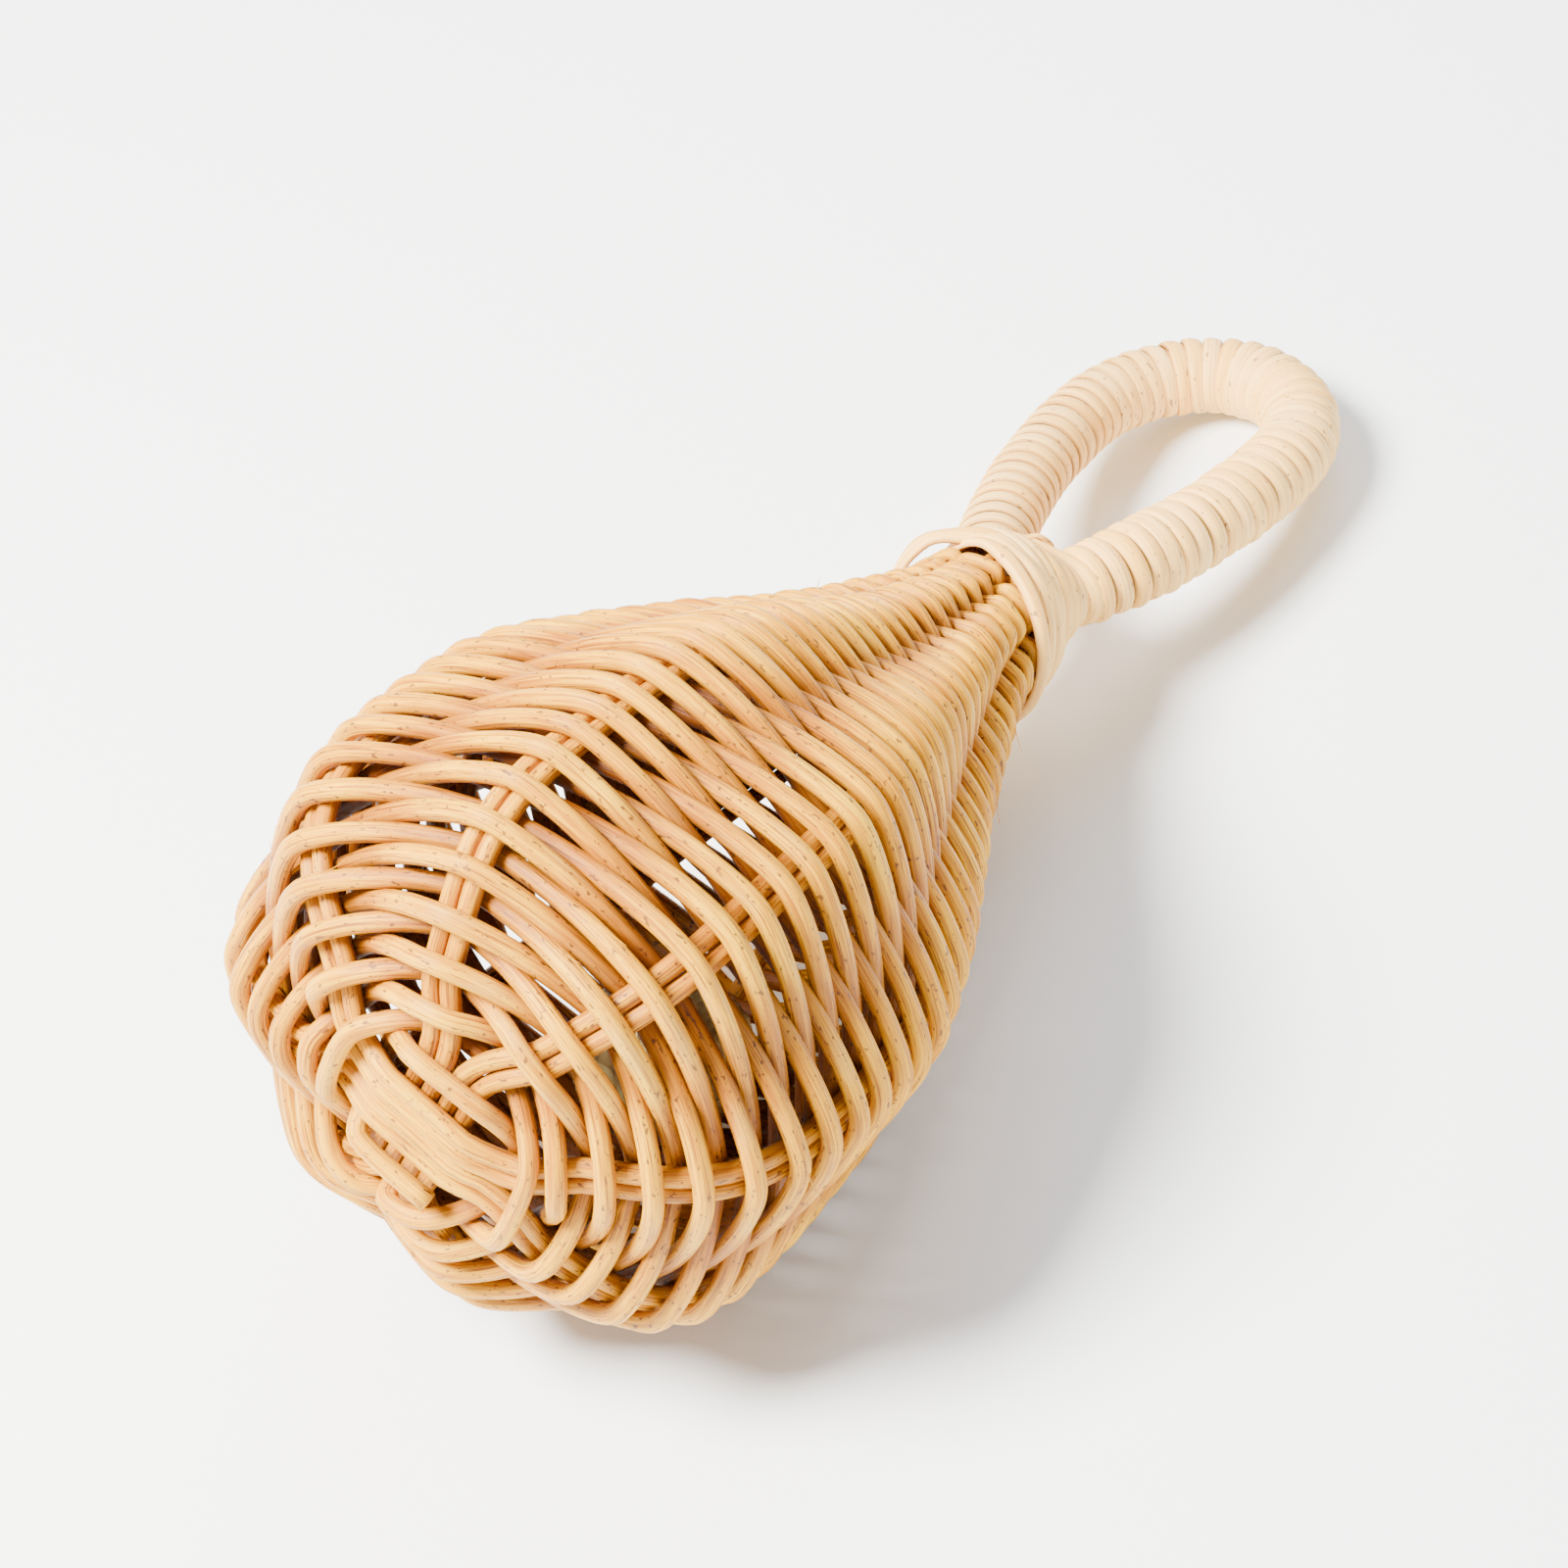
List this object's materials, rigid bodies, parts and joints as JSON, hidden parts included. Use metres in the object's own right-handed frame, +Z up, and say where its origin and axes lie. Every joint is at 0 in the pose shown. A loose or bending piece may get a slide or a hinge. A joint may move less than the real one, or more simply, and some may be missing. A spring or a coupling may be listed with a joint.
{
  "type": "woven hand rattle",
  "caption": "Pear-shaped woven rattan basket rattle with a wrapped loop handle and a loose metal bell inside, lying at rest.",
  "frame": {"origin": "centre of the bounding box's bottom face: the rattle lies on the ground on its belly and its handle tip", "axes": "+X towards the loop handle, +Y across the loop, +Z up"},
  "size_m": [0.1724, 0.0708, 0.0731],
  "materials": {
    "rattan_natural": "satin natural rattan core",
    "rattan_bleached": "satin bleached rattan peel",
    "rattan_cane": "bare cane",
    "bell_metal": "dull",
    "clapper_metal": "dull"
  },
  "bodies": {
    "basket": {"stake_rod_1": "rattan_natural", "stake_rod_2": "rattan_natural", "stake_rod_3": "rattan_natural", "stake_rod_4": "rattan_natural", "stake_rod_5": "rattan_natural", "stake_rod_6": "rattan_natural", "stake_rod_7": "rattan_natural", "stake_rod_8": "rattan_natural", "weaver_1": "rattan_natural", "weaver_2": "rattan_natural", "handle_core": "rattan_cane", "handle_wrap": "rattan_bleached", "neck_binding": "rattan_bleached", "collar_loop_1": "rattan_bleached", "collar_loop_2": "rattan_bleached", "collar_loop_3": "rattan_bleached"},
    "bell": {"bell_upper_shell": "bell_metal", "bell_lower_shell": "bell_metal", "bell_loop": "bell_metal"},
    "clapper": {"bell_clapper": "clapper_metal"}
  },
  "joints": [
    {"name": "bell_swing", "type": "hinge", "parent": "basket", "child": "bell", "pos_m": [-0.04757, 0, 0.06477], "axis": [0, 1, 0], "range_deg": [-20, 20]},
    {"name": "clapper_slide", "type": "slide", "parent": "bell", "child": "clapper", "axis": [0, 0, 1], "range_m": [0, 0.012]}
  ]
}
